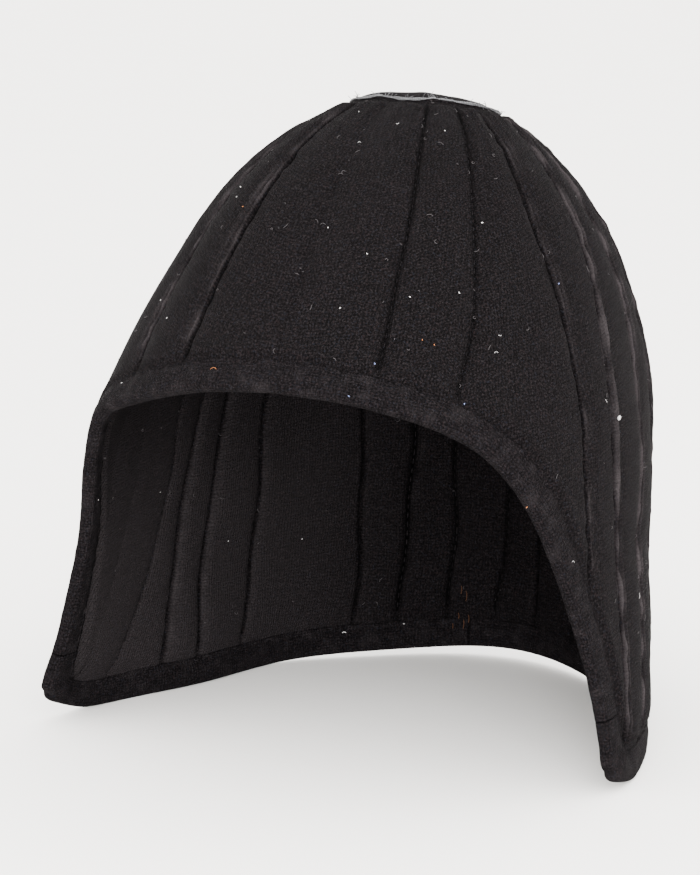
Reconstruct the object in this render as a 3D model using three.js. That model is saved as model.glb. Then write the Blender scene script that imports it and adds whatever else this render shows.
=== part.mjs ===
import * as THREE from "three";

// A quilted canvas arming cap, standing on its hem with the face opening towards -Y.
// Millimetres, +Z up. The wearer's left ear is on +X. The floor is Z = 0.

// Driving dimensions
const crownHeight = 224; // floor to the middle of the crown piece
const browWidth = 188; // outside, ear to ear, level with the brow
const browLength = 216; // outside, brow to back of the head
const crownRadius = 27; // round opening that the crown piece closes
const crownSetback = 48; // crown piece behind the ring middles' zero line
const crownLean = 12; // degrees that the crown piece tips backwards
const archHeight = 141; // floor to the top of the face opening
const tipAzimuth = 88; // degrees from the centre front to the flap tips
const tipLift = 8; // flap tips above the floor
const napeLift = 4.5; // hem above the floor at the centre back
const wall = 7; // padded cloth at the crest of a channel
const seamWall = 3.6; // the same cloth where it is stitched down
const bindingWidth = 11; // each leg of the bindings
const bindingCloth = 1.2; // thickness of the bindings
const tipWrap = 19; // how far the hem binding runs round each flap tip
const tipRound = 2.5; // how much each flap tip is blunted
const crownCloth = 1.5; // thickness of the crown piece
const crownLap = 3; // crown piece beyond its opening
const crownRise = 1.5; // swell of the crown piece
const clearance = 0.3; // between pieces that lie on each other

// Rings round the outside, from the hem up. Heights are shares of crownHeight, half
// widths of browWidth, middles and half lengths of browLength, leans of crownLean. With
// square at 2 a ring is an ellipse, and a larger number squares it.
const rings = [
  { height: 0.0, halfWidth: 0.598, middle: -0.22, halfLength: 0.72, lean: 0, square: 1.96 },
  { height: 0.156, halfWidth: 0.566, middle: -0.12, halfLength: 0.638, lean: 0, square: 2.02 },
  { height: 0.335, halfWidth: 0.527, middle: -0.044, halfLength: 0.586, lean: 0, square: 2.08 },
  { height: 0.491, halfWidth: 0.507, middle: 0.01, halfLength: 0.556, lean: 0, square: 2.22 },
  { height: 0.625, halfWidth: 0.47, middle: 0.074, halfLength: 0.5, lean: 0.04, square: 2.25 },
  { height: 0.759, halfWidth: 0.409, middle: 0.118, halfLength: 0.415, lean: 0.15, square: 2.25 },
  { height: 0.871, halfWidth: 0.327, middle: 0.148, halfLength: 0.315, lean: 0.35, square: 2.25 },
  { height: 0.946, halfWidth: 0.24, middle: 0.185, halfLength: 0.225, lean: 0.6, square: 2.25 },
];

// The edge of the face opening, from the centre front to a flap tip: azimuth as a
// share of tipAzimuth, height as a share of archHeight.
const faceEdge = [
  { azimuth: 0.0, height: 1.0 },
  { azimuth: 0.16, height: 0.986 },
  { azimuth: 0.3, height: 0.952 },
  { azimuth: 0.4, height: 0.912 },
  { azimuth: 0.49, height: 0.857 },
  { azimuth: 0.585, height: 0.763 },
  { azimuth: 0.685, height: 0.63 },
  { azimuth: 0.775, height: 0.49 },
  { azimuth: 0.86, height: 0.33 },
  { azimuth: 0.935, height: 0.175 },
];

// The hem lies on the floor between these azimuths and rises from there to both ends.
const restFrom = 102;
const restTo = 142;

// Quilting lines, in degrees from the centre front at three heights, the same on both
// sides. The last channel lies across the centre back.
const stitchLines = [
  { hem: 0, brow: 0, crown: 0 },
  { hem: 20, brow: 20, crown: 26 },
  { hem: 36, brow: 36, crown: 47 },
  { hem: 84, brow: 67, crown: 62 },
  { hem: 94, brow: 82, crown: 88 },
  { hem: 103, brow: 101, crown: 104 },
  { hem: 118, brow: 115, crown: 117 },
  { hem: 127, brow: 121, crown: 127 },
  { hem: 138, brow: 132, crown: 137 },
  { hem: 161, brow: 153, crown: 153 },
  { hem: 169, brow: 163, crown: 163 },
  { hem: 176, brow: 173, crown: 173 },
];
const columnSpacing = 3.8; // degrees between the mesh columns of a channel
const bandRows = [0, 0.45, 1]; // mesh rows under the bindings, as shares of their width
const freeRows = 11; // mesh rows from there to the crown

const canvas = { color: 0x29272a, roughness: 0.95, metalness: 0 };
const bindingCanvas = { color: 0x2c2a2c, roughness: 0.95, metalness: 0 };

const degree = Math.PI / 180;
const up = new THREE.Vector3(0, 0, 1);

// A column of a table as a smooth curve without overshoot.
function readTable(rows, key, column, at) {
  const last = rows.length - 2;
  let i = 0;
  while (i < last && at > rows[i + 1][key]) i++;
  const rise = (k) => (rows[k + 1][column] - rows[k][column]) / (rows[k + 1][key] - rows[k][key]);
  const slope = (k) => {
    if (k === 0) return rise(0);
    if (k > last) return rise(last);
    const [before, after] = [rise(k - 1), rise(k)];
    return before * after > 0 ? (2 * before * after) / (before + after) : 0;
  };
  const span = rows[i + 1][key] - rows[i][key];
  const t = (at - rows[i][key]) / span;
  const [a, b] = [rows[i][column], rows[i + 1][column]];
  const [m, n] = [slope(i) * span, slope(i + 1) * span];
  if (t < 0) return a + m * t;
  if (t > 1) return b + n * (t - 1);
  return a + t * (m + t * (3 * (b - a) - 2 * m - n + t * (2 * (a - b) + m + n)));
}

const ringSizes = rings.map((ring) => ({
  height: ring.height * crownHeight,
  halfWidth: ring.halfWidth * browWidth,
  middle: ring.middle * browLength,
  halfLength: ring.halfLength * browLength,
  lean: ring.lean * crownLean,
  square: ring.square,
}));
ringSizes.push({
  height: crownHeight,
  halfWidth: crownRadius,
  middle: crownSetback,
  halfLength: crownRadius,
  lean: crownLean,
  square: rings[rings.length - 1].square,
});

// A point of the outside, at the crest of the padding.
function outside(azimuth, height) {
  const size = (column) => readTable(ringSizes, "height", column, height);
  const [s, c] = [Math.sin(azimuth * degree), Math.cos(azimuth * degree)];
  const square = size("square");
  const across = Math.abs(s / size("halfWidth")) ** square;
  const along = Math.abs(c / size("halfLength")) ** square;
  const radius = (across + along) ** (-1 / square);
  const back = -radius * c;
  const drop = back * Math.tan(size("lean") * degree);
  return new THREE.Vector3(radius * s, size("middle") + back, height - drop);
}

// The two directions in the cloth at a point, and the way out of it.
function clothFrame(azimuth, height) {
  const step = 0.5;
  const lower = Math.min(height, crownHeight - step);
  const round = outside(azimuth + step, height).sub(outside(azimuth - step, height));
  const rise = outside(azimuth, lower + step).sub(outside(azimuth, lower - step));
  round.divideScalar(2 * step);
  rise.divideScalar(2 * step);
  return { round, rise, out: round.clone().cross(rise).normalize() };
}

// A point at some depth under the outside.
function inCloth(azimuth, height, depth) {
  return outside(azimuth, height).addScaledVector(clothFrame(azimuth, height).out, -depth);
}

function hemHeight(azimuth) {
  const toTip = THREE.MathUtils.clamp((restFrom - azimuth) / (restFrom - tipAzimuth), 0, 1);
  const toNape = THREE.MathUtils.clamp((azimuth - restTo) / (180 - restTo), 0, 1);
  return tipLift * toTip ** 1.5 + napeLift * toNape * toNape * (3 - 2 * toNape);
}

// One half of the cloth's edge: the face opening down to the flap tip, then the hem.
const faceCurve = new THREE.SplineCurve([
  ...faceEdge.map((p) => new THREE.Vector2(p.azimuth * tipAzimuth, p.height * archHeight)),
  new THREE.Vector2(tipAzimuth, hemHeight(tipAzimuth)),
]);
const edgeSteps = 240;
const edge = [];
for (let i = 0; i <= edgeSteps; i++) {
  const p = faceCurve.getPoint(i / edgeSteps);
  edge.push({ azimuth: p.x, height: p.y, face: true });
}
const tipIndex = edgeSteps;
for (let i = 1; i <= edgeSteps; i++) {
  const azimuth = tipAzimuth + ((180 - tipAzimuth) * i) / edgeSteps;
  edge.push({ azimuth, height: hemHeight(azimuth), face: false });
}
edge.forEach((sample, i) => {
  sample.point = outside(sample.azimuth, sample.height);
  sample.run = i === 0 ? 0 : edge[i - 1].run + sample.point.distanceTo(edge[i - 1].point);
});
const tipRun = edge[tipIndex].run;
const edgeLength = edge[edge.length - 1].run;

// The way from the edge into the cloth, square to the edge, between two samples.
function intoCloth(i, j) {
  const at = edge[i];
  const along = edge[j].point.clone().sub(edge[i].point).normalize();
  return clothFrame(at.azimuth, at.height).out.cross(along).normalize();
}
edge.forEach((sample, i) => {
  if (i === 0) sample.into = clothFrame(sample.azimuth, sample.height).rise.normalize();
  else if (i === tipIndex || i === edge.length - 1) sample.into = intoCloth(i, i - 1).negate();
  else sample.into = intoCloth(i, i + 1);
});

// Round the tip the two ways fan out from the mitre, so that rows beside them never cross.
const faceWay = edge[tipIndex].into;
const hemWay = intoCloth(tipIndex, tipIndex + 1);
const mitre = faceWay.clone().add(hemWay).divideScalar(1 + faceWay.dot(hemWay));
const fanStart = edge.find((sample) => sample.run >= tipRun - tipWrap).into;
const fanEnd = edge.find((sample) => sample.run >= tipRun + tipWrap).into;
for (const sample of edge) {
  const away = (sample.run - tipRun) / tipWrap;
  if (Math.abs(away) < 1) {
    sample.into = mitre.clone().lerp(away < 0 ? fanStart : fanEnd, Math.abs(away));
  }
}

// The same way, as change of azimuth and height for each millimetre.
for (const sample of edge) {
  const { round, rise } = clothFrame(sample.azimuth, sample.height);
  const [rr, rh, hh] = [round.dot(round), round.dot(rise), rise.dot(rise)];
  const [r, h] = [round.dot(sample.into), rise.dot(sample.into)];
  const scale = rr * hh - rh * rh;
  sample.turn = (r * hh - h * rh) / scale;
  sample.climb = (h * rr - r * rh) / scale;
}

// Azimuth and height of the place some way in from the edge, and the edge's own height.
function fromEdge(run, inset) {
  let i = 1;
  while (i < edge.length - 1 && edge[i].run < run) i++;
  const [a, b] = [edge[i - 1], edge[i]];
  const t = THREE.MathUtils.clamp((run - a.run) / (b.run - a.run), 0, 1);
  const mix = (column) => a[column] + (b[column] - a[column]) * t;
  const blunt = tipRound * Math.max(0, 1 - Math.abs(run - tipRun) / (2 * tipRound)) ** 2;
  return {
    azimuth: mix("azimuth") + mix("turn") * (inset + blunt),
    height: mix("height") + mix("climb") * (inset + blunt),
    base: mix("height") + mix("climb") * blunt,
  };
}

const shellInset = bindingCloth + clearance;
const bandDepth = bindingWidth + 4 * clearance;

// A quilting line's azimuth at a height; whole numbers are the lines in the table.
function lineAzimuth(line, height) {
  const k = Math.min(Math.floor(line), stitchLines.length - 1);
  const at = ({ hem, brow, crown }) => {
    if (height < archHeight) return hem + ((brow - hem) * height) / archHeight;
    return brow + ((crown - brow) * (height - archHeight)) / (crownHeight - archHeight);
  };
  const from = at(stitchLines[k]);
  const to = k + 1 < stitchLines.length ? at(stitchLines[k + 1]) : 360 - from;
  return from + (to - from) * (line - k);
}

// The same the other way round: the number of the line through a place.
function lineThrough(azimuth, height) {
  let k = 0;
  while (k < stitchLines.length - 1 && azimuth > lineAzimuth(k + 1, height)) k++;
  const [from, to] = [lineAzimuth(k, height), lineAzimuth(k + 1 - 1e-9, height)];
  return k + (azimuth - from) / (to - from);
}

// Where the mesh columns leave the edge, on one half of the cap.
function columnRuns() {
  const finals = edge.map((sample) => {
    const azimuth = sample.azimuth + sample.turn * bandDepth;
    return lineThrough(azimuth, sample.height + sample.climb * bandDepth);
  });
  const runs = [];
  stitchLines.forEach((_, k) => {
    const width = lineAzimuth(k + 1 - 1e-9, archHeight) - lineAzimuth(k, archHeight);
    const count = Math.max(3, Math.round(width / columnSpacing));
    for (let j = 0; j < count && k + j / count < stitchLines.length - 0.5; j++) {
      const i = Math.max(1, finals.findIndex((final) => final >= k + j / count));
      const t = (k + j / count - finals[i - 1]) / (finals[i] - finals[i - 1]);
      runs.push(edge[i - 1].run + t * (edge[i].run - edge[i - 1].run));
    }
  });
  const tipRuns = [-tipWrap, -2 * tipRound, 0, 2 * tipRound, tipWrap].map((d) => tipRun + d);
  const clear = runs.filter((run) => Math.abs(run - tipRun) > tipWrap + 1);
  return [...clear, ...tipRuns, edgeLength].sort((a, b) => a - b);
}
const runs = columnRuns();

// How far a point is from the cloth's edge.
function edgeDistance(point) {
  let nearest = Infinity;
  for (const sample of edge) nearest = Math.min(nearest, sample.point.distanceTo(point));
  return nearest;
}

// 0 where the cloth is stitched flat, 1 at the crest of a channel.
function padding(azimuth, height) {
  const line = lineThrough(azimuth, height);
  const t = line - Math.floor(line);
  const across = Math.max(0, 4 * t * (1 - t)) ** 0.6;
  const fromEdgeBand = edgeDistance(outside(azimuth, height)) - bandDepth;
  const fromCrown = outside(azimuth, height).distanceTo(outside(azimuth, crownHeight)) - crownLap;
  const free = THREE.MathUtils.smoothstep(fromEdgeBand, 0, 2 * wall);
  return across * free * THREE.MathUtils.smoothstep(fromCrown, 0, 3 * wall);
}

const seamDepth = (wall - seamWall) / 2;

// The section of the shell along one mesh column: up the outside and down the inside.
function shellSection(run) {
  const places = bandRows.map((share) => fromEdge(run, shellInset + share * (bandDepth - shellInset)));
  const start = places[places.length - 1];
  const line = lineThrough(start.azimuth, start.height);
  for (let j = 1; j <= freeRows; j++) {
    const climbed = 1 - (1 - j / freeRows) ** 1.6;
    const height = start.height + (crownHeight - start.height) * climbed;
    places.push({ azimuth: lineAzimuth(line, height), height });
  }
  const outer = places.map(({ azimuth, height }) => {
    return inCloth(azimuth, height, seamDepth * (1 - padding(azimuth, height)));
  });
  const inner = places.map(({ azimuth, height }) => {
    return inCloth(azimuth, height, wall - seamDepth * (1 - padding(azimuth, height)));
  });
  return [...outer, ...inner.reverse()];
}

// The folded section of a binding, as depth and distance in from the edge.
const legs = {
  outerFace: seamDepth - clearance - bindingCloth,
  outerBack: seamDepth - clearance,
  innerBack: wall - seamDepth + clearance,
  innerFace: wall - seamDepth + clearance + bindingCloth,
};
const bindingOutline = [
  [legs.outerFace, bindingWidth],
  [legs.outerFace, bindingCloth],
  [legs.outerBack, 0],
  [legs.innerBack, 0],
  [legs.innerFace, bindingCloth],
  [legs.innerFace, bindingWidth],
  [legs.innerBack, bindingWidth],
  [legs.innerBack, bindingCloth],
  [legs.outerBack, bindingCloth],
  [legs.outerBack, bindingWidth],
].map(([depth, inset]) => new THREE.Vector2(depth, inset));

function bindingSection(run) {
  return bindingOutline.map(({ x: depth, y: inset }) => {
    const place = fromEdge(run, inset);
    const point = inCloth(place.azimuth, place.height, depth);
    if (inset === 0 && run >= tipRun) point.z = place.base;
    return point;
  });
}

const mirrored = (section) => section.map((p) => new THREE.Vector3(-p.x, p.y, p.z));

// A closed mesh through a row of like sections, joined end to start or capped.
function throughSections(sections, outline) {
  const size = sections[0].length;
  const points = sections.flat();
  const faces = [];
  const spans = outline ? sections.length - 1 : sections.length;
  for (let i = 0; i < spans; i++) {
    const next = (i + 1) % sections.length;
    for (let j = 0; j < size; j++) {
      const [a, b] = [i * size + j, i * size + ((j + 1) % size)];
      const [c, d] = [next * size + j, next * size + ((j + 1) % size)];
      const straight = points[a].distanceTo(points[d]) <= points[b].distanceTo(points[c]);
      if (straight) faces.push([a, b, d], [a, d, c]);
      else faces.push([a, b, c], [b, d, c]);
    }
  }
  if (outline) {
    const last = (sections.length - 1) * size;
    const turned = THREE.ShapeUtils.isClockWise(outline);
    for (const [a, b, c] of THREE.ShapeUtils.triangulateShape(outline, [])) {
      faces.push(turned ? [a, b, c] : [a, c, b]);
      faces.push(turned ? [last + a, last + c, last + b] : [last + a, last + b, last + c]);
    }
  }
  return closedGeometry(points, faces);
}

// Positions and faces as a geometry that faces outwards.
function closedGeometry(points, faces) {
  let volume = 0;
  for (const [a, b, c] of faces) {
    volume += points[a].dot(points[b].clone().cross(points[c]));
  }
  const index = faces.flatMap(([a, b, c]) => (volume > 0 ? [a, b, c] : [a, c, b]));
  const geometry = new THREE.BufferGeometry().setFromPoints(points);
  geometry.setIndex(index);
  geometry.computeVertexNormals();
  return geometry;
}

function quiltedShell() {
  const half = runs.map(shellSection);
  const other = half.slice(1, -1).reverse().map(mirrored);
  return throughSections([...half, ...other]);
}

function faceBinding() {
  const end = tipRun - tipWrap - clearance;
  const half = [...runs.filter((run) => run < end - 1), end].map(bindingSection);
  return throughSections([...half.slice(1).reverse().map(mirrored), ...half], bindingOutline);
}

function hemBinding() {
  const half = runs.filter((run) => run >= tipRun - tipWrap).map(bindingSection);
  return throughSections([...half, ...half.slice(0, -1).reverse().map(mirrored)], bindingOutline);
}

// The crown piece: a round of cloth that laps over the shell's top edge.
function crownPiece() {
  const steps = 44;
  const lidRings = [0.8, 0.55, 0.28];
  const lidSide = (depth, rise) => {
    const rows = [[], [], ...lidRings.map(() => [])];
    const middle = outside(0, crownHeight).add(outside(180, crownHeight)).divideScalar(2);
    middle.addScaledVector(up, rise);
    for (let i = 0; i < steps; i++) {
      const azimuth = (360 * i) / steps;
      const lap = crownLap / clothFrame(azimuth, crownHeight).rise.length();
      rows[0].push(inCloth(azimuth, crownHeight - lap, depth));
      const rim = inCloth(azimuth, crownHeight, depth);
      rows[1].push(rim);
      lidRings.forEach((share, k) => {
        const point = middle.clone().lerp(rim, share);
        point.z = rim.z + (middle.z - rim.z) * (1 - share * share);
        rows[k + 2].push(point);
      });
    }
    return { rows, middle };
  };
  const below = lidSide(seamDepth - clearance, crownRise);
  const above = lidSide(seamDepth - clearance - crownCloth, crownRise + crownCloth);
  const points = [above.middle, ...above.rows.reverse().flat(), ...below.rows.flat(), below.middle];
  const faces = [];
  const lastPoint = points.length - 1;
  const rowCount = (lastPoint - 1) / steps;
  for (let i = 0; i < steps; i++) {
    const next = (i + 1) % steps;
    faces.push([0, 1 + i, 1 + next]);
    for (let k = 0; k + 1 < rowCount; k++) {
      const [a, b] = [1 + k * steps + i, 1 + k * steps + next];
      faces.push([a, a + steps, b + steps], [a, b + steps, b]);
    }
    const row = 1 + (rowCount - 1) * steps;
    faces.push([row + i, lastPoint, row + next]);
  }
  return closedGeometry(points, faces);
}

const cap = new THREE.Group();
function addPiece(name, geometry, look) {
  const mesh = new THREE.Mesh(geometry, new THREE.MeshStandardMaterial(look));
  mesh.name = name;
  cap.add(mesh);
}
addPiece("quilted_shell", quiltedShell(), canvas);
addPiece("crown_piece", crownPiece(), canvas);
addPiece("face_binding", faceBinding(), bindingCanvas);
addPiece("hem_binding", hemBinding(), bindingCanvas);

// The origin is on the floor, under the middle of the cap.
const bounds = new THREE.Box3().setFromObject(cap);
const centre = bounds.getCenter(new THREE.Vector3());
cap.position.set(-centre.x, -centre.y, -bounds.min.z);

export default cap;
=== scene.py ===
import math
import random
from functools import partial

import bmesh
import bpy
import numpy as np
from mathutils import Matrix, Quaternion, Vector, noise
from mathutils.bvhtree import BVHTree
from mathutils.kdtree import KDTree


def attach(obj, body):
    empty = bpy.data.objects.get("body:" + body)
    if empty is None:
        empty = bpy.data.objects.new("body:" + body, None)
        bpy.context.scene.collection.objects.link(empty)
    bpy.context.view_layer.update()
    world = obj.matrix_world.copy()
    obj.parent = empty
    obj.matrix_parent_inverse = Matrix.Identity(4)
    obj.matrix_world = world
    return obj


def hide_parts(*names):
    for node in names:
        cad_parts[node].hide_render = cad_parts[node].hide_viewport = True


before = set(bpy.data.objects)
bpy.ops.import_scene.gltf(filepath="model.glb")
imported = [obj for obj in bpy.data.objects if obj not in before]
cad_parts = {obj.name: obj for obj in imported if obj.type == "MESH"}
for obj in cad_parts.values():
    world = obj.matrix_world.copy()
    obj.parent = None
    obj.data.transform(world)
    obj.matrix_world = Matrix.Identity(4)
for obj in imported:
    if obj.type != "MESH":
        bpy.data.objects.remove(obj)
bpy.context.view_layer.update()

# A quilted canvas arming cap standing on its hem. Lengths here are millimetres until
# a mesh is made, +Z is up and the face opening looks towards -Y.
capForm = {
    "crownHeight": 224.0,
    "browWidth": 188.0,
    "browLength": 216.0,
    "crownRadius": 27.0,
    "crownSetback": 48.0,
    "crownLean": 12.0,
    "archHeight": 141.0,
    "tipAzimuth": 88.0,
    "tipLift": 8.0,
    "napeLift": 4.5,
    "restFrom": 102.0,
    "restTo": 142.0,
    "wall": 7.0,
    "seamWall": 3.6,
    "bindingWidth": 11.0,
    "bindingCloth": 1.2,
    "tipWrap": 19.0,
    "tipRound": 2.5,
    "crownLap": 3.0,
    "middleY": 16.7355,  # the rings' zero line behind the middle of the cap
}
crownHeight = capForm["crownHeight"]
archHeight = capForm["archHeight"]
tipAzimuth = capForm["tipAzimuth"]
wall = capForm["wall"]
seamDepth = (wall - capForm["seamWall"]) / 2
bandDepth = capForm["bindingWidth"] + 1.2

# height, half width, middle, half length, lean, squareness
ringTable = [
    (0.0, 0.598, -0.22, 0.72, 0.0, 1.96),
    (0.156, 0.566, -0.12, 0.638, 0.0, 2.02),
    (0.335, 0.527, -0.044, 0.586, 0.0, 2.08),
    (0.491, 0.507, 0.01, 0.556, 0.0, 2.22),
    (0.625, 0.47, 0.074, 0.5, 0.04, 2.25),
    (0.759, 0.409, 0.118, 0.415, 0.15, 2.25),
    (0.871, 0.327, 0.148, 0.315, 0.35, 2.25),
    (0.946, 0.24, 0.185, 0.225, 0.6, 2.25),
]
# azimuth and height of the face edge, as shares of tipAzimuth and archHeight
faceEdge = [
    (0.0, 1.0), (0.16, 0.986), (0.3, 0.952), (0.4, 0.912), (0.49, 0.857),
    (0.585, 0.763), (0.685, 0.63), (0.775, 0.49), (0.86, 0.33), (0.935, 0.175),
]
# Quilting lines: degrees at the hem, brow and crown, how deep the stitched crease is on
# the wearer's right (-X) and left (+X), how deep and wide the hollow round it, how far a
# lip of crumpled cloth stands up behind it, right and left, how much of all this shows
# inside on the wearer's right, and how many degrees the line bows there.
quiltLines = [
    (0, 0, 0, 0.10, 0.10, 0.22, 7.0, 0.0, 0.0, 1.0, 0.0),
    (20, 20, 26, 0.80, 0.55, 0.45, 5.0, 0.6, 0.1, 0.3, 0.0),
    (36, 36, 47, 0.80, 0.45, 0.60, 6.0, 0.8, 0.0, 0.3, 0.0),
    (84, 67, 62, 0.60, 0.50, 0.50, 5.0, 0.5, 0.4, 0.03, 0.0),
    (94, 82, 88, 0.60, 0.70, 0.45, 3.2, 0.6, 1.2, 0.03, 0.0),
    (103, 101, 104, 0.60, 0.70, 0.45, 3.0, 0.6, 1.2, 0.35, 1.5),
    (118, 115, 117, 0.80, 0.75, 0.45, 2.6, 0.7, 0.9, 1.5, -4.5),
    (127, 121, 127, 0.70, 0.75, 0.45, 2.6, 0.7, 0.7, 1.4, -3.0),
    (138, 132, 137, 0.60, 0.60, 0.45, 3.0, 0.5, 0.7, 0.9, -1.5),
    (161, 153, 153, 0.70, 0.60, 0.45, 3.0, 0.5, 0.5, 0.8, 0.0),
    (169, 163, 163, 0.90, 0.60, 0.45, 2.6, 0.6, 0.5, 1.5, 0.0),
    (176, 173, 173, 0.70, 0.60, 0.45, 3.0, 0.5, 0.4, 1.0, 0.0),
]


# the last line's row is used once more for the channel across the centre back
quiltColumns = np.array([row[3:-1] for row in quiltLines + quiltLines[-1:]]).T
creaseRight, creaseLeft, hollowDepth, hollowWidth, lipRight, lipLeft, insideRight = quiltColumns


def readTable(keys, values, at):
    keys, values = np.array(keys, float), np.array(values, float)
    at = np.asarray(at, float)
    rise = np.diff(values) / np.diff(keys)
    slope = np.concatenate([rise[:1], np.zeros(len(keys) - 2), rise[-1:]])
    before, after = rise[:-1], rise[1:]
    same = before * after > 0
    slope[1:-1][same] = 2 * (before * after)[same] / (before + after)[same]
    i = np.clip(np.searchsorted(keys, at, side="right") - 1, 0, len(keys) - 2)
    span = keys[i + 1] - keys[i]
    t = (at - keys[i]) / span
    a, b, m, n = values[i], values[i + 1], slope[i] * span, slope[i + 1] * span
    inside = a + t * (m + t * (3 * (b - a) - 2 * m - n + t * (2 * (a - b) + m + n)))
    return np.where(t < 0, a + m * t, np.where(t > 1, b + n * (t - 1), inside))


ringScale = (crownHeight, capForm["browWidth"], capForm["browLength"],
             capForm["browLength"], capForm["crownLean"], 1.0)
ringSizes = np.array([[v * s for v, s in zip(row, ringScale)] for row in ringTable]
                     + [[crownHeight, capForm["crownRadius"], capForm["crownSetback"],
                         capForm["crownRadius"], capForm["crownLean"], 2.25]])


# a point of the outside, at the crest of the padding; azimuth is signed, + on +X
def outside(azimuth, height):
    azimuth, height = np.broadcast_arrays(np.asarray(azimuth, float), height)
    size = [readTable(ringSizes[:, 0], ringSizes[:, k], height) for k in range(1, 6)]
    halfWidth, middle, halfLength, lean, square = size
    s, c = np.sin(np.radians(azimuth)), np.cos(np.radians(azimuth))
    reach = np.abs(s / halfWidth) ** square + np.abs(c / halfLength) ** square
    radius = reach ** (-1 / square)
    back = -radius * c
    drop = back * np.tan(np.radians(lean))
    return np.stack([radius * s, middle + back, height - drop], -1)


def clothFrame(azimuth, height):
    step = 0.5
    lower = np.minimum(height, crownHeight - step)
    around = (outside(azimuth + step, height) - outside(azimuth - step, height)) / (2 * step)
    rise = (outside(azimuth, lower + step) - outside(azimuth, lower - step)) / (2 * step)
    out = np.cross(around, rise)
    out /= np.linalg.norm(out, axis=-1, keepdims=True)
    return around, rise, out


def hemHeight(azimuth):
    restFrom, restTo = capForm["restFrom"], capForm["restTo"]
    toTip = np.clip((restFrom - azimuth) / (restFrom - tipAzimuth), 0, 1)
    toNape = np.clip((azimuth - restTo) / (180 - restTo), 0, 1)
    smooth = toNape * toNape * (3 - 2 * toNape)
    return capForm["tipLift"] * toTip ** 1.5 + capForm["napeLift"] * smooth


# One half of the cloth's edge, from the centre front down to the flap tip and along the hem.
def traceEdge(steps=240):
    marks = np.array([(a * tipAzimuth, h * archHeight) for a, h in faceEdge]
                     + [(tipAzimuth, float(hemHeight(tipAzimuth)))])
    at = np.linspace(0, len(marks) - 1, steps + 1)
    i = np.minimum(at.astype(int), len(marks) - 2)
    t = (at - i)[:, None]
    p0, p1, p2 = marks[np.maximum(i - 1, 0)], marks[i], marks[i + 1]
    p3 = marks[np.minimum(i + 2, len(marks) - 1)]
    v0, v1 = (p2 - p0) / 2, (p3 - p1) / 2
    face = p1 + t * (v0 + t * (3 * (p2 - p1) - 2 * v0 - v1 + t * (2 * (p1 - p2) + v0 + v1)))
    hemAzimuth = np.linspace(tipAzimuth, 180, steps + 1)[1:]
    hem = np.stack([hemAzimuth, hemHeight(hemAzimuth)], -1)
    azimuth, height = np.concatenate([face, hem]).T
    points = outside(azimuth, height)
    gaps = np.linalg.norm(np.diff(points, axis=0), axis=1)
    run = np.concatenate([[0], np.cumsum(gaps)])
    around, rise, out = clothFrame(azimuth, height)
    along = np.diff(points, axis=0)
    along = np.concatenate([along, along[-1:]])
    along[steps] = points[steps] - points[steps - 1]
    into = np.cross(out, along)
    into /= np.linalg.norm(into, axis=1, keepdims=True)
    into[0] = rise[0] / np.linalg.norm(rise[0])
    # round the tip the ways fan out from the mitre
    hemWay = np.cross(out[steps], points[steps + 1] - points[steps])
    hemWay /= np.linalg.norm(hemWay)
    mitre = (into[steps] + hemWay) / (1 + into[steps] @ hemWay)
    tipWrap = capForm["tipWrap"]
    first = into[np.argmax(run >= run[steps] - tipWrap)].copy()
    last = into[np.argmax(run >= run[steps] + tipWrap)].copy()
    away = (run - run[steps]) / tipWrap
    for k in np.flatnonzero(np.abs(away) < 1):
        share = abs(away[k])
        into[k] = mitre * (1 - share) + (first if away[k] < 0 else last) * share
    dot = lambda a, b: (a * b).sum(-1)
    rr, rh, hh = dot(around, around), dot(around, rise), dot(rise, rise)
    r, h = dot(around, into), dot(rise, into)
    scale = rr * hh - rh * rh
    return {"run": run, "azimuth": azimuth, "height": height, "points": points,
            "turn": (r * hh - h * rh) / scale, "climb": (h * rr - r * rh) / scale,
            "tip": run[steps], "end": run[-1]}


edge = traceEdge()
tipRun, endRun = edge["tip"], edge["end"]


# azimuth and height some way in from the edge; run is signed, + on +X
def fromEdge(run, inset):
    run, inset = np.broadcast_arrays(np.asarray(run, float), inset)
    side, along = np.where(run < 0, -1.0, 1.0), np.abs(run)
    value = {k: np.interp(along, edge["run"], edge[k]) for k in ("azimuth", "height", "turn", "climb")}
    tipRound = capForm["tipRound"]
    blunt = tipRound * np.clip(1 - np.abs(along - tipRun) / (2 * tipRound), 0, 1) ** 2
    azimuth = value["azimuth"] + value["turn"] * (inset + blunt)
    return side * azimuth, value["height"] + value["climb"] * (inset + blunt)


# all quilting lines' azimuths at the given heights, with the turn back to the centre last;
# side is -1 on the wearer's right, so that both sides stray in their own way
def lineAzimuths(height, side):
    rows = []
    for k, (hem, brow, crown, *_, bow) in enumerate(quiltLines):
        low = hem + (brow - hem) * height / archHeight
        high = brow + (crown - brow) * (height - archHeight) / (crownHeight - archHeight)
        stray = np.sin(height / 19 + 2.3 * k + side) + 0.5 * np.sin(height / 6.7 + 5.1 * k - side)
        calm = min(k, 1) * np.clip((crownHeight - height) / 30, 0, 1)
        bowed = bow * np.sin(np.pi * np.clip(height / archHeight, 0, 1)) * (side < 0)
        rows.append(np.where(height < archHeight, low, high) + 0.5 * stray * calm + bowed)
    return np.stack(rows + [360 - rows[-1]])


def pick(lines, k):
    return np.take_along_axis(lines, k[None], 0)[0]


def sideOf(value):
    return np.where(value < 0, -1.0, 1.0)


def lineThrough(azimuth, height):
    lines = lineAzimuths(height, sideOf(azimuth))
    turned = np.abs(azimuth)
    k = np.clip((turned[None] > lines[1:-1]).sum(0), 0, len(quiltLines) - 1)
    a, b = pick(lines, k), pick(lines, k + 1)
    return k + (turned - a) / (b - a)


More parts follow.
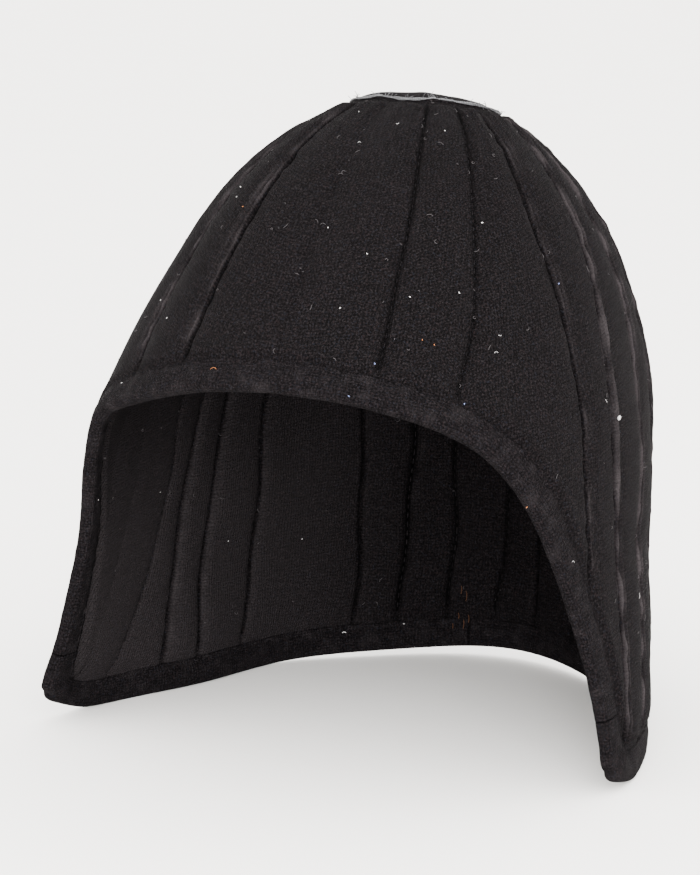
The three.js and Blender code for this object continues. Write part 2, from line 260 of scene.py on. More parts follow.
def azimuthOfLine(line, height, side):
    lines = lineAzimuths(height, side)
    k = np.clip(np.floor(line + 1e-9).astype(int), 0, len(quiltLines) - 1)
    k = np.broadcast_to(k, np.shape(height))
    a, b = pick(lines, k), pick(lines, k + 1)
    return side * (a + (b - a) * (line - k))


# where the photograph was taken from
cameraView = {
    "azimuth": 23.2,
    "elevation": 11.0,
    "distance": 1.085,
    "target": (0.0, -0.0169, 0.120),
    "pixelsPerMetre": 2773.0,  # at the target
    "targetPixel": (372.0, 403.0),
    "frame": (700.0, 875.0),
    "sensor": 36.0,
}


def cameraFrame():
    a, e = math.radians(cameraView["azimuth"]), math.radians(cameraView["elevation"])
    back = Vector((math.sin(a) * math.cos(e), -math.cos(a) * math.cos(e), math.sin(e)))
    right = Vector((math.cos(a), math.sin(a), 0))
    eye = Vector(cameraView["target"]) + back * cameraView["distance"]
    return eye, -back, right, back.cross(right)


# How the real one departs from the even form: middle of the place, its reach, and the way
# it goes, in millimetres from the cap's own origin.
settling = [
    # x, y, z, reach, dx, dy, dz
    (-92, 14, 0, 60, 11.5, -8.0, 0.0),  # right side's hem lies flatter
    (-58, 84, 0, 60, 2.0, -12.0, 0.0),  # and so does the back right of it
    (-20, 90, 2, 50, 0.0, -4.0, -1.8),  # the nape hangs down
    (-110, -64, 8, 24, -2.6, -1.2, 1.6),  # right tip turned outwards
    (-112, -50, 2, 20, 0.0, 0.0, 1.6),
    (-106, -84, 28, 48, -2.6, 0.0, 0.0),  # right flap's edge stands out
    (-34, 14, 219, 20, 1.8, 0.0, -2.2),  # right shoulder of the crown
    (-70, -86, 122, 20, -2.2, -0.8, 2.2),  # right corner of the face opening
    (110, -66, 6, 15, -0.8, -0.4, -1.8),  # left tip rolled to a blunt end
    (104, 26, 88, 18, 1.2, 0.6, 0.0),  # a swelling, a dent and a hollow low on the left
    (106, 26, 57, 11, -2.2, -0.8, 0.0),
    (107, 20, 24, 30, -1.8, -0.6, 0.0),
]


def settle(points):
    moved = points - np.array([0, capForm["middleY"], 0])
    shift = np.zeros_like(moved)
    for x, y, z, reach, dx, dy, dz in settling:
        far = np.linalg.norm(moved - np.array([x, y, z]), axis=-1) / reach
        shift += np.exp(-2 * far ** 2)[..., None] * np.array([dx, dy, dz])
    moved = moved + shift
    moved[..., 2] = np.maximum(moved[..., 2], 0)
    return moved


def ripple(points, size, seed=0.0):
    flat = points.reshape(-1, 3) / size
    found = [noise.noise(Vector((x + seed, y - seed, z + 2 * seed))) for x, y, z in flat]
    return np.array(found).reshape(points.shape[:-1])


edgeTree = KDTree(2 * len(edge["points"]))
for k, (x, y, z) in enumerate(edge["points"]):
    edgeTree.insert((x, y, z), 2 * k)
    edgeTree.insert((-x, y, z), 2 * k + 1)
edgeTree.balance()


def edgeDistance(points):
    flat = points.reshape(-1, 3)
    return np.array([edgeTree.find(p)[2] for p in flat]).reshape(points.shape[:-1])


def smoothStep(x, low, high):
    t = np.clip((x - low) / (high - low), 0, 1)
    return t * t * (3 - 2 * t)


quilting = {
    "edgeFlatten": 3.2,  # length over which the padding thins to the bindings
    "crownFlatten": 5.0,
    "creaseWidth": 1.1,
    "crest": 0.45,  # how far the channels stand out beyond the even outside
    "sink": 0.7,  # how far the creases lie below the level of the bands
    "puckerHeight": 0.8,
    "puckerSize": 4.6,
    "puckerReach": 6.0,
    "slackHeight": 1.1,
    "slackSize": 34.0,
    "crownGather": 0.5,
    "creaseShadeWidth": 0.75,  # width of the painted shade line in a crease
    # how strongly the painted crease shade darkens the colour
    "paintedCreaseShade": 1.2,
    "lips": ((1.4, 1.0), (3.1, 0.6)),  # how far from the crease, and how tall
    "lipWidth": 0.6,
    "insideWear": 0.3,
    "paintedInsideLight": 0.29,  # painted light, low down inside the right flap
}


# How deep under the even outside the cloth lies, on the outer or the inner face, and how much wear it has
# there, with painted shade in the creases and, on the inner face, painted light low in the right flap.
def quiltDepth(azimuth, height, outer):
    points = outside(azimuth, height)
    around, _, _ = clothFrame(azimuth, height)
    perDegree = np.linalg.norm(around, axis=-1)
    line = lineThrough(azimuth, height)
    k = np.floor(line).astype(int)
    share = line - k
    lines = lineAzimuths(height, sideOf(azimuth))
    width = (pick(lines, k + 1) - pick(lines, k)) * perDegree
    right = azimuth < 0
    behind, ahead = share * width, (1 - share) * width
    nearest = np.minimum(behind, ahead)
    groove, standing, near = np.zeros_like(width), np.zeros_like(width), np.ones_like(width)
    ragged = np.clip(0.85 + 1.1 * ripple(points, 9.0, 41.0), 0.2, 1.5)
    for index, away in ((k, behind), (k + 1, ahead)):
        sharp = np.where(right, creaseRight[index], creaseLeft[index])
        soft = np.minimum(hollowWidth[index], 0.3 * width)
        shows = 1.0 if outer else np.where(right, insideRight[index], 1.0)
        crease = sharp * np.exp(-(away / quilting["creaseWidth"]) ** 1.2)
        hollow = crease + hollowDepth[index] * np.exp(-(away / soft) ** 1.4)
        groove = np.maximum(groove, shows * hollow)
        lip = np.where(right, lipRight[index], lipLeft[index]) * shows
        lip = lip * (1.0 if outer else 0.35) * (1.0 if index is k else 0.6)
        for place, tall in quilting["lips"]:
            crest = np.exp(-((away - place) / quilting["lipWidth"]) ** 2)
            standing = np.maximum(standing, tall * lip * crest * ragged)
        near = np.where(away == nearest, shows, near)
    dome = 1 - 0.2 * (2 * share - 1) ** 2
    fromEdges = edgeDistance(points) - bandDepth
    fromCrown = np.linalg.norm(points - outside(azimuth, crownHeight), axis=-1) - capForm["crownLap"]
    atEdge = smoothStep(fromEdges, -1.5, quilting["edgeFlatten"])
    swell = atEdge * smoothStep(fromCrown, 0, quilting["crownFlatten"])
    crinkle = ripple(points + [[7, 3, 1]], quilting["puckerSize"], 0 if outer else 5.0)
    pucker = crinkle * np.exp(-nearest / quilting["puckerReach"]) * np.clip(nearest / 1.0, 0.1, 1)
    pucker = pucker * np.clip(near, 0, 1)
    slack = ripple(points, quilting["slackSize"], 11.0 if outer else 17.0)
    free = smoothStep(fromEdges, 0, 8) * smoothStep(fromCrown, 0, 8)
    relief = quilting["puckerHeight"] * pucker * free + quilting["slackHeight"] * slack * free
    gather = np.exp(-np.maximum(fromCrown, 0) / 22) * np.sin(np.radians(azimuth) * 46 + 3 * slack)
    relief = relief + quilting["crownGather"] * gather * free
    standing = standing * free
    relief = relief + standing
    wearPaintedShadeAndLight = standing * 0.9 + np.maximum(crinkle, 0) * np.exp(-nearest / 2.5) * 0.5
    wearPaintedShadeAndLight = np.clip(wearPaintedShadeAndLight, 0, 1) ** 1.5 * free
    # painted shade: the colour goes near black along each stitched crease, where little light reaches
    closest = np.where(behind < ahead, k, k + 1)
    sharp = np.where(right, creaseRight[closest], creaseLeft[closest])
    creaseShadeMask = sharp * np.clip(near, 0, 1.3) * np.exp(-(nearest / quilting["creaseShadeWidth"]) ** 2) * swell
    wearPaintedShadeAndLight = wearPaintedShadeAndLight - np.clip(quilting["paintedCreaseShade"] * creaseShadeMask, 0, 1)
    depth = seamDepth * (1 - swell * dome) - quilting["crest"] * swell * dome - relief
    fall = seamDepth + quilting["crest"] + quilting["sink"]
    depth = depth + fall * swell * np.minimum(groove, 1.2)
    if outer:
        return depth, wearPaintedShadeAndLight
    # painted light: the cloth is made lighter low down inside the right flap
    paintedInsideLight = smoothStep(-points[..., 0], 20, 100) * smoothStep(150 - height, 0, 90)
    return wall - depth, np.minimum(wearPaintedShadeAndLight, quilting["insideWear"]) + quilting["paintedInsideLight"] * paintedInsideLight


def onCloth(azimuth, height, depth):
    _, _, out = clothFrame(azimuth, height)
    return settle(outside(azimuth, height) - out * np.asarray(depth)[..., None])


# length of cloth from the floor up to a height, for the weave's own coordinates
climbAzimuths = np.arange(0, 181, 6.0)
climbHeights = np.arange(0, crownHeight + 1, 2.0)
climbGrid = outside(climbAzimuths[:, None], climbHeights[None])
climbSteps = np.linalg.norm(np.diff(climbGrid, axis=1), axis=-1)
climbTable = np.concatenate([np.zeros((len(climbAzimuths), 1)), np.cumsum(climbSteps, 1)], 1)


def clothHeight(azimuth, height):
    a = np.clip(np.abs(azimuth) / 6, 0, len(climbAzimuths) - 1.001)
    h = np.clip(height / 2, 0, len(climbHeights) - 1.001)
    i, j = a.astype(int), h.astype(int)
    s, t = a - i, h - j
    low = climbTable[i, j] * (1 - s) + climbTable[i + 1, j] * s
    high = climbTable[i, j + 1] * (1 - s) + climbTable[i + 1, j + 1] * s
    return low * (1 - t) + high * t


def finishMesh(name, bm):
    bmesh.ops.recalc_face_normals(bm, faces=bm.faces)
    for f in bm.faces:
        f.smooth = True
    mesh = bpy.data.meshes.new(name)
    bm.to_mesh(mesh)
    bm.free()
    piece = bpy.data.objects.new(name, mesh)
    bpy.context.scene.collection.objects.link(piece)
    print(name, len(mesh.polygons), "faces")
    return piece


# A grid of cloth: positions[i, j] in millimetres and, for every face, its corners' places
# in the weave. The grid comes from bmesh, and its open sides are welded where they meet.
def clothGrid(name, positions, weave, wearPaintedShadeAndLight=None):
    columns, rows = positions.shape[0] - 1, positions.shape[1] - 1
    bm = bmesh.new()
    bmesh.ops.create_grid(bm, x_segments=columns, y_segments=rows, size=0.5)
    layer = bm.loops.layers.uv.new("weave")
    # the layer holds wear, with painted shade in the creases as negative values and painted light inside
    # the right flap
    wear = bm.verts.layers.float.new("wearPaintedShadeAndLight")
    places = {}
    for v in bm.verts:
        i, j = round((v.co.x + 0.5) * columns), round((v.co.y + 0.5) * rows)
        places[v.index] = (i, j)
    for f in bm.faces:
        corners = [places[l.vert.index] for l in f.loops]
        i, j = min(c[0] for c in corners), min(c[1] for c in corners)
        for l, (a, b) in zip(f.loops, corners):
            l[layer].uv = weave[i, j, a - i, b - j]
    for v in bm.verts:
        v.co = Vector(positions[places[v.index]] * 0.001)
        v[wear] = 0.0 if wearPaintedShadeAndLight is None else float(wearPaintedShadeAndLight[places[v.index]])
    bmesh.ops.remove_doubles(bm, verts=bm.verts, dist=1e-6)
    return finishMesh(name, bm)


# the four corners of each grid cell, as weave[i, j, di, dj]
def byCorner(value):
    return np.stack([np.stack([value[:-1, :-1], value[:-1, 1:]], -1),
                     np.stack([value[1:, :-1], value[1:, 1:]], -1)], -2)


# The quilted shell is one grid: along the edge, then up the outer face to the crown and
# back down the inner face.
shellMake = {
    "besideLine": (0.0, 0.4, 0.85, 1.35, 1.9, 2.6, 3.6),  # columns this far from a crease
    "columnGap": 3.2,
    "bandRows": 3,
    "outerRows": 116,
    "innerRows": 62,
    "fill": 0.55,
}


def shellRuns(side):
    finalAzimuth = side * (edge["azimuth"] + edge["turn"] * bandDepth)
    finalHeight = edge["height"] + edge["climb"] * bandDepth
    finals = np.maximum.accumulate(lineThrough(finalAzimuth, finalHeight))
    brow = np.array([archHeight])
    lines = lineAzimuths(brow, side)[:, 0]
    perDegree = np.linalg.norm(clothFrame((lines[1:] + lines[:-1]) / 2, archHeight)[0], axis=-1)
    widths = np.diff(lines) * perDegree
    beside = np.array(shellMake["besideLine"])
    runs = []
    for k, width in enumerate(widths):
        near = beside[beside < 0.42 * width]
        free = width - 2 * near[-1]
        between = np.linspace(near[-1], width - near[-1], max(2, round(free / shellMake["columnGap"])) + 1)
        places = sorted(set(near) | set(between) | set((width - near)[1:]))
        for at in places:
            if k + at / width < len(quiltLines) - 0.5:
                runs.append(float(np.interp(k + at / width, finals, edge["run"])))
    keep = [r for r in runs if r < 1e-6 or abs(r - tipRun) > capForm["tipWrap"] + 1]
    tips = tipRun + np.linspace(-1, 1, 19) * capForm["tipWrap"]
    half = np.array(sorted(set(keep) | set(tips) | {endRun}))
    return half[np.concatenate([[True], np.diff(half) > 0.05])]


def buildShell():
    left, right = shellRuns(1.0), shellRuns(-1.0)
    runs = np.concatenate([-right[:0:-1], left])
    band = np.linspace(1.5, bandDepth, shellMake["bandRows"])
    azimuths, heights = fromEdge(runs[:, None], band[None])
    startAzimuth, startHeight = azimuths[:, -1], heights[:, -1]
    line = lineThrough(startAzimuth, startHeight)
    side = sideOf(runs)
    # at the blunt tips the lines are evened out, so that no two columns cross
    for turn in (-1.0, 1.0):
        bent = (side == turn) & (np.abs(np.abs(runs) - tipRun) < 2.2 * capForm["tipRound"])
        calm = (side == turn) & ~bent
        order = np.argsort(np.abs(runs[calm]))
        line[bent] = np.interp(np.abs(runs[bent]), np.abs(runs[calm])[order], line[calm][order])

    def climb(rows):
        climbed = 1 - (1 - np.arange(1, rows + 1) / rows) ** 1.25
        height = startHeight[:, None] + (crownHeight - startHeight)[:, None] * climbed[None]
        freeAzimuth = np.stack([azimuthOfLine(line, height[:, j], side) for j in range(rows)], 1)
        return (np.concatenate([azimuths, freeAzimuth], 1),
                np.concatenate([heights, height], 1))

    outA, outH = climb(shellMake["outerRows"])
    inA, inH = climb(shellMake["innerRows"])
    outerDepth, outerWearAndPaintedShade = quiltDepth(outA, outH, True)
    innerDepth, innerWearPaintedShadeAndLight = quiltDepth(inA, inH, False)
    outer, inner = onCloth(outA, outH, outerDepth), onCloth(inA, inH, innerDepth)
    wearPaintedShadeAndLight = np.concatenate([outerWearAndPaintedShade, innerWearPaintedShadeAndLight[:, ::-1], outerWearAndPaintedShade[:, :1]], 1)
    azimuth = np.concatenate([outA, inA[:, ::-1], outA[:, :1]], 1)
    height = np.concatenate([outH, inH[:, ::-1], outH[:, :1]], 1)
    points = np.concatenate([outer, inner[:, ::-1], outer[:, :1]], 1)
    # the two ends meet at the back
    for field in (points, wearPaintedShadeAndLight):
        field[0] = field[-1] = (field[0] + field[-1]) / 2
    # weave places: across from the middle of each channel, and up the cloth
    around, _, _ = clothFrame(azimuth, height)
    perDegree = np.linalg.norm(around, axis=-1)
    lineHere = lineThrough(azimuth, height)
    middleLine = byCorner(lineHere).mean(axis=(2, 3))
    k = np.clip(np.floor(middleLine).astype(int), 0, len(quiltLines) - 1)
    corners = {key: byCorner(v) for key, v in
               (("az", azimuth), ("h", height), ("per", perDegree))}
    side = sideOf(byCorner(azimuth).mean(axis=(2, 3)))
    middle = np.empty_like(corners["az"])
    for di in range(2):
        for dj in range(2):
            lines = lineAzimuths(corners["h"][:, :, di, dj], side)
            middle[:, :, di, dj] = (pick(lines, k) + pick(lines, k + 1)) / 2
    sign = side[..., None, None]
    across = (corners["az"] - sign * middle) * corners["per"] + 37.0 * sign * k[..., None, None]
    up = clothHeight(corners["az"], corners["h"])
    weave = np.stack([across, up], -1) * 0.001
    return clothGrid("quilted_cloth", points, weave, wearPaintedShadeAndLight)


# the bindings: one strip of cloth folded over the edge, seen from both sides
bindingMake = {
    "step": 1.3,
    "lie": 0.75,  # outer face above the stitched cloth
    "swell": 0.35,
    "tipSwell": 3.2,
    "foldDepth": 2.0,
    "edgeRows": 12,
    "legRows": 9,
    "thickness": 0.8,
    "pucker": 0.42,
    "puckerSize": 4.0,
    "waver": 0.35,
}


def buildBinding(name, runs):
    width = capForm["bindingWidth"]
    outerFace = seamDepth - bindingMake["lie"]
    innerFace = wall - outerFace
    radius, fold = (innerFace - outerFace) / 2, bindingMake["foldDepth"]
    leg = np.linspace(1, 0, bindingMake["legRows"] + 1)[:-1]
    turn = np.linspace(0, math.pi, bindingMake["edgeRows"] + 1)
    legInset = fold + (width - fold) * leg
    inset = np.concatenate([legInset, fold - fold * np.sin(turn) ** 0.8, legInset[::-1]])
    depth = np.concatenate([np.full(len(leg), outerFace), wall / 2 - radius * np.cos(turn),
                            np.full(len(leg), innerFace)])
    onFree = np.concatenate([leg, np.zeros(len(turn)), leg[::-1]])
    wave = np.array([noise.noise(Vector((r / 17.0, 4.0, 0.0))) for r in runs])
    insets = inset[None] + bindingMake["waver"] * wave[:, None] * (onFree > 0.9)[None]
    azimuth, height = fromEdge(runs[:, None], insets)
    base = outside(azimuth, height)
    pucker = ripple(base, bindingMake["puckerSize"], 23.0) * bindingMake["pucker"]
    # the free long side is stitched down, so it dips to the cloth there
    stitched = np.exp(-((onFree - 0.86) / 0.07) ** 2) * 0.55 + (onFree > 0.97) * 0.1
    fat = 1 + bindingMake["tipSwell"] * np.exp(-((np.abs(runs) - tipRun - 3) / 7) ** 2)
    across = np.sin(np.pi * np.clip(onFree / 0.86, 0, 1)) ** 0.8
    stitched = stitched[None] - bindingMake["swell"] * fat[:, None] * across[None]
    towardsMiddle = np.where(depth < wall / 2, 1.0, -1.0)[None]
    depths = depth[None] + towardsMiddle * (stitched - pucker * (0.4 + onFree[None]))
    points = onCloth(azimuth, height, depths)
    wearPaintedShadeAndLight = np.clip(0.5 * np.maximum(pucker, 0), 0, 1)
    if name.startswith("hem"):
        points[..., 2] = np.maximum(points[..., 2], 0.0)
    lengthRun = np.broadcast_to(runs[:, None], insets.shape)
    girth = np.concatenate([[0], np.cumsum(np.hypot(np.diff(inset), np.diff(depth)))])
    girthRun = np.broadcast_to(girth[None], insets.shape)
    weave = np.stack([byCorner(lengthRun), byCorner(girthRun)], -1) * 0.001
    return clothGrid(name, points, weave, np.broadcast_to(wearPaintedShadeAndLight, insets.shape))


def buildBindings():
    step = bindingMake["step"]
    end = tipRun - capForm["tipWrap"]
    face = np.linspace(-end, end, int(2 * end / step))
    made = [buildBinding("face_edging", face)]
    start = end + 0.4
    half = np.linspace(start, endRun, int((endRun - start) / step))
    runs = np.concatenate([half, -half[-2::-1]])
    made.append(buildBinding("hem_edging", runs))
    return made


# the small round cloth that closes the top
crownMake = {
    "around": 132,
    "rings": 20,
    "lap": 1.3,
    "rise": 3.6,
    "thickness": 0.6,
    "lie": 0.45,  # outer face above the shell's top edge
    "waver": 0.5,
    "crumple": 0.7,
}


# how far down from the crown ring the edge of the crown piece hangs
def crownLapAt(turn):
    wave = noise.noise(Vector((3.2 * math.cos(turn), 3.2 * math.sin(turn), 9.0)))
    return crownMake["lap"] + crownMake["waver"] * wave


def belowCrown(azimuth, down, depth):
    _, rise, _ = clothFrame(azimuth, np.full_like(azimuth, crownHeight))
    height = crownHeight - down / np.linalg.norm(rise, axis=-1)
    return outside(azimuth, height) - clothFrame(azimuth, height)[2] * np.asarray(depth)[..., None]


def buildCrown():
    azimuth = np.linspace(-180, 180, crownMake["around"] + 1)
    lap = np.array([crownLapAt(math.radians(a)) for a in azimuth])
    crumple = crownMake["crumple"] * ripple(belowCrown(azimuth, lap, np.zeros_like(lap)), 9.0, 31.0)
    top = seamDepth - crownMake["lie"]
    rows = [belowCrown(azimuth, lap * share, np.full_like(lap, top + sink))
            for share, sink in ((1.0, 0.35), (0.6, 0.05), (0.2, 0.1))]
    level = np.zeros_like(lap)
    rim = belowCrown(azimuth, level, top + 0.7 + level)
    rim = rim + np.stack([level, level, 0.3 + 0.5 * crumple], -1)
    middle = (outside(np.array(0.0), crownHeight) + outside(np.array(180.0), crownHeight)) / 2
    for share in np.linspace(1, 0, crownMake["rings"]):
        ring = middle + (rim - middle) * share
        ring[:, 2] += crownMake["rise"] * (1 - share ** 5) - 1.2 * (1 - share)
        wrinkle = ripple(ring, 12.0, 31.0) * min(1, 4 * share * (1 - share) + 0.1)
        ring[:, 2] += crownMake["crumple"] * wrinkle
        rows.append(ring)
    points = settle(np.stack(rows, 1))
    points[-1] = points[0]
    weave = byCorner(points[..., 0]), byCorner(points[..., 1])
    return clothGrid("crown_cloth", points, np.stack(weave, -1) * 0.001)


# the raw edge that stands up as a pale wavy line round the crown piece
frayMake = {
    "around": 300,
    "height": 0.32,
    "ruffle": 0.7,
    "waver": 2.4,
    "threads": 150,
    "threadRadius": 0.1,
    "thickness": 0.4,
    "seed": 12,
}


# a fibre or thread: a thin tube spun along a few places, in millimetres
def addThread(bm, places, radius, sides=4):
    ways = np.gradient(np.array(places, float), axis=0)
    loops = []
    for place, way in zip(places, ways):
        matrix = Vector(way).to_track_quat("Z", "Y").to_matrix().to_4x4()
        matrix.translation = Vector(place) * 0.001
        made = bmesh.ops.create_circle(bm, segments=sides, radius=radius * 0.001, matrix=matrix)
        loops.append(made["verts"])
    for one, other in zip(loops, loops[1:]):
        edges = [e for v in one + other for e in v.link_edges]
        own = {e for e in edges if all(v in one for v in e.verts) or all(v in other for v in e.verts)}
        bmesh.ops.bridge_loops(bm, edges=list(own))
    for loop in (loops[0], loops[-1]):
        bmesh.ops.contextual_create(bm, geom=loop)


def buildFray():
    azimuth = np.linspace(-180, 180, frayMake["around"] + 1)
    rim = belowCrown(azimuth, np.full_like(azimuth, 0.4), np.full_like(azimuth, seamDepth - 0.2))
    wave = ripple(rim, 4.5, 47.0)
    long = ripple(rim, 11.0, 53.0)
    rim = belowCrown(azimuth, 1.2 + frayMake["waver"] * (long + 0.4 * wave),
                     np.full_like(azimuth, seamDepth - 0.5))
    _, rise, out = clothFrame(azimuth, np.full_like(azimuth, crownHeight))
    rise = rise / np.linalg.norm(rise, axis=-1, keepdims=True)
    rows = []
    for share in (-0.4, 0.0, 0.4, 0.75, 1.0):
        tall = frayMake["height"] * share * (1 + 1.4 * long * (share > 0))
        lean = frayMake["ruffle"] * wave * max(share, 0)
        rows.append(rim + np.array([0, 0, 1.0]) * tall[:, None] + out * (lean + 0.25 * share)[:, None])
    points = settle(np.stack(rows, 1))
    points[-1] = points[0]
    weave = np.stack([byCorner(points[..., 0]), byCorner(points[..., 2])], -1) * 0.001
    ribbon = clothGrid("crown_raw_edge", points, weave)
    random.seed(frayMake["seed"])
    bm = bmesh.new()
    for _ in range(frayMake["threads"]):
        i = random.randrange(frayMake["around"])
        start = rim[i] + np.array([0, 0, frayMake["height"] * random.uniform(0.2, 1.0)])
        way = out[i] * random.uniform(-0.4, 0.9) + np.array([random.uniform(-1, 1), random.uniform(-1, 1),
                                                            random.uniform(0.1, 0.7)])
        curl = np.array([random.uniform(-1, 1), random.uniform(-1, 1), random.uniform(-0.8, 0.2)])
        length = random.uniform(0.8, 2.4)
        places = [start + length * (way * s + 0.6 * curl * s * s) for s in (0.0, 0.35, 0.7, 1.0)]
        addThread(bm, settle(np.array(places)), frayMake["threadRadius"], 3)
    return ribbon, finishMesh("crown_frayed_threads", bm)


# stitches: small lens-like lumps of thread in the creases and along the bindings
stitchMake = {
    "pitch": 3.6,
    "length": 2.5,
    "radius": 0.3,
    "bindingInset": 9.5,
}


def addStitch(bm, place, way, out):
    z = Vector(way).normalized()
    x = Vector(out).cross(z).normalized()
    y = z.cross(x)
    length, radius = stitchMake["length"] / 2, stitchMake["radius"]
    matrix = Matrix(((x.x * radius, y.x * radius, z.x * length, place[0]),
                     (x.y * radius, y.y * radius, z.y * length, place[1]),
                     (x.z * radius, y.z * radius, z.z * length, place[2]),
                     (0, 0, 0, 1000.0)))
    matrix = Matrix.Diagonal((0.001, 0.001, 0.001, 0.001)) @ matrix
    bmesh.ops.create_uvsphere(bm, u_segments=5, v_segments=4, radius=1.0, matrix=matrix)


# Each row is made in a mesh of its own, because adding to a large one is slow.
def stitchRow(rows, azimuth, height, depth):
    points = onCloth(azimuth, height, depth)
    _, _, out = clothFrame(azimuth, height)
    run = np.concatenate([[0], np.cumsum(np.linalg.norm(np.diff(points, axis=0), axis=1))])
    bm = bmesh.new()
    for s in np.arange(stitchMake["pitch"] / 2, run[-1], stitchMake["pitch"]):
        place = [np.interp(s, run, points[:, c]) for c in range(3)]
        before = [np.interp(s - 1, run, points[:, c]) for c in range(3)]
        after = [np.interp(s + 1, run, points[:, c]) for c in range(3)]
        nearest = out[int(np.argmin(np.abs(run - s)))]
        addStitch(bm, place, np.subtract(after, before), nearest)
    mesh = bpy.data.meshes.new("stitch_row")
    bm.to_mesh(mesh)
    bm.free()
    rows.append(mesh)


def joinRows(name, rows):
    bm = bmesh.new()
    for mesh in rows:
        bm.from_mesh(mesh)
        bpy.data.meshes.remove(mesh)
    return finishMesh(name, bm)


def buildStitches():
    rows = []
    for side in (-1.0, 1.0):
        finals = np.maximum.accumulate(lineThrough(
            side * (edge["azimuth"] + edge["turn"] * bandDepth),
            edge["height"] + edge["climb"] * bandDepth))
        for k in range(1, len(quiltLines)):
            run = float(np.interp(k, finals, edge["run"]))
            _, low = fromEdge(side * run, bandDepth)
            height = np.linspace(float(low), crownHeight - 6, 60)
            azimuth = azimuthOfLine(float(k), height, side)
            for outer in (True, False):
                if side < 0 and not outer and insideRight[k] < 0.3:
                    continue
                depth, _ = quiltDepth(azimuth, height, outer)
                stitchRow(rows, azimuth, height, depth + (0.05 if outer else -0.05))
    quilted = joinRows("quilting_stitches", rows)
    rows = []
    for side in (-1.0, 1.0):
        run = side * np.arange(0.0, endRun, 1.5)
        azimuth, height = fromEdge(run, stitchMake["bindingInset"])
        lie = seamDepth - bindingMake["lie"] + 0.42
        for depth in (lie, wall - lie):
            stitchRow(rows, azimuth, height, np.full(len(run), depth))
    return quilted, joinRows("binding_stitches", rows)


# Lint on the cloth: column and row of the photograph, length, thickness, and which tone.
lint = [
    (482, 223, 0.7, 0.19, "white"), (618, 418, 1.2, 0.60, "white"), (302, 539, 0.6, 0.17, "white"),
    (328, 228, 0.6, 0.14, "white"), (367, 254, 0.6, 0.15, "white"), (410, 297, 0.6, 0.14, "white"),
    (459, 293, 0.6, 0.15, "white"), (340, 308, 0.7, 0.16, "white"), (241, 187, 0.8, 0.19, "white"),
    (237, 197, 1.1, 0.09, "white"), (445, 131, 0.6, 0.16, "white"), (228, 541, 0.5, 0.14, "white"),
    (160, 492, 0.5, 0.12, "white"), (98, 500, 0.6, 0.12, "white"), (344, 632, 1.7, 0.14, "white"),
    (404, 624, 0.8, 0.14, "white"), (359, 112, 0.6, 0.12, "white"), (360, 142, 1.8, 0.06, "white"),
    (527, 507, 0.8, 0.15, "orange"), (422, 340, 0.6, 0.12, "orange"), (434, 345, 0.6, 0.12, "orange"),
    (243, 207, 0.6, 0.15, "orange"), (559, 284, 0.8, 0.14, "blue"), (464, 404, 0.6, 0.15, "blue"),
    (349, 396, 0.9, 0.12, "blue"), (375, 364, 1.1, 0.12, "blue"), (398, 124, 1.5, 0.06, "white"),
    (496, 352, 1.7, 0.05, "white"), (500, 336, 1.3, 0.05, "white"), (573, 561, 1.8, 0.05, "white"),
    (606, 401, 1.5, 0.05, "white"), (639, 596, 2.8, 0.06, "white"), (214, 368, 2.8, 0.06, "orange"),
    (161, 300, 0.7, 0.14, "white"), (167, 318, 0.8, 0.12, "white"), (122, 383, 0.6, 0.14, "white"),
    (462, 590, 3.4, 0.11, "brown"), (467, 596, 4.2, 0.11, "brown"), (459, 616, 3.0, 0.11, "brown"),
    (464, 624, 3.6, 0.13, "brown"), (469, 619, 3.8, 0.11, "brown"), (453, 626, 2.2, 0.10, "brown"),
]
lintTones = {
    "brown": (0.055, 0.022, 0.010),
    "white": (0.42, 0.41, 0.41),
    "orange": (0.30, 0.11, 0.04),
    "blue": (0.13, 0.16, 0.30),
}
looseMake = {
    "count": 420,  # other short fibres, strewn over both faces
    "shortest": 0.6,
    "longest": 2.6,
    "radius": 0.07,
    "colour": (0.05, 0.045, 0.047),
    "seed": 5,
}


# a curled fibre that lies on the cloth at a place, or one that hangs down it
def layFibre(bm, place, normal, length, radius, hanging=False):
    side = normal.orthogonal().normalized()
    side.rotate(Quaternion(normal, random.uniform(0, 2 * math.pi)))
    if hanging:
        side = (Vector((0, 0, 1)) - normal * normal.z).normalized()
    other = normal.cross(side)
    bend = random.uniform(0.3, 0.9) if hanging else random.uniform(0.5, 4.4)
    places = []
    for s in np.linspace(-0.5, 0.5, 4 if length < 1.2 else 8):
        angle = bend * s
        along = (side * math.sin(angle) + other * (1 - math.cos(angle))) * (length / bend)
        lifted = normal * (radius * 0.9 + 0.3 * (1 - 4 * s * s) * min(1, length / 4))
        places.append(place + along + lifted)
    addThread(bm, places, radius, 5)


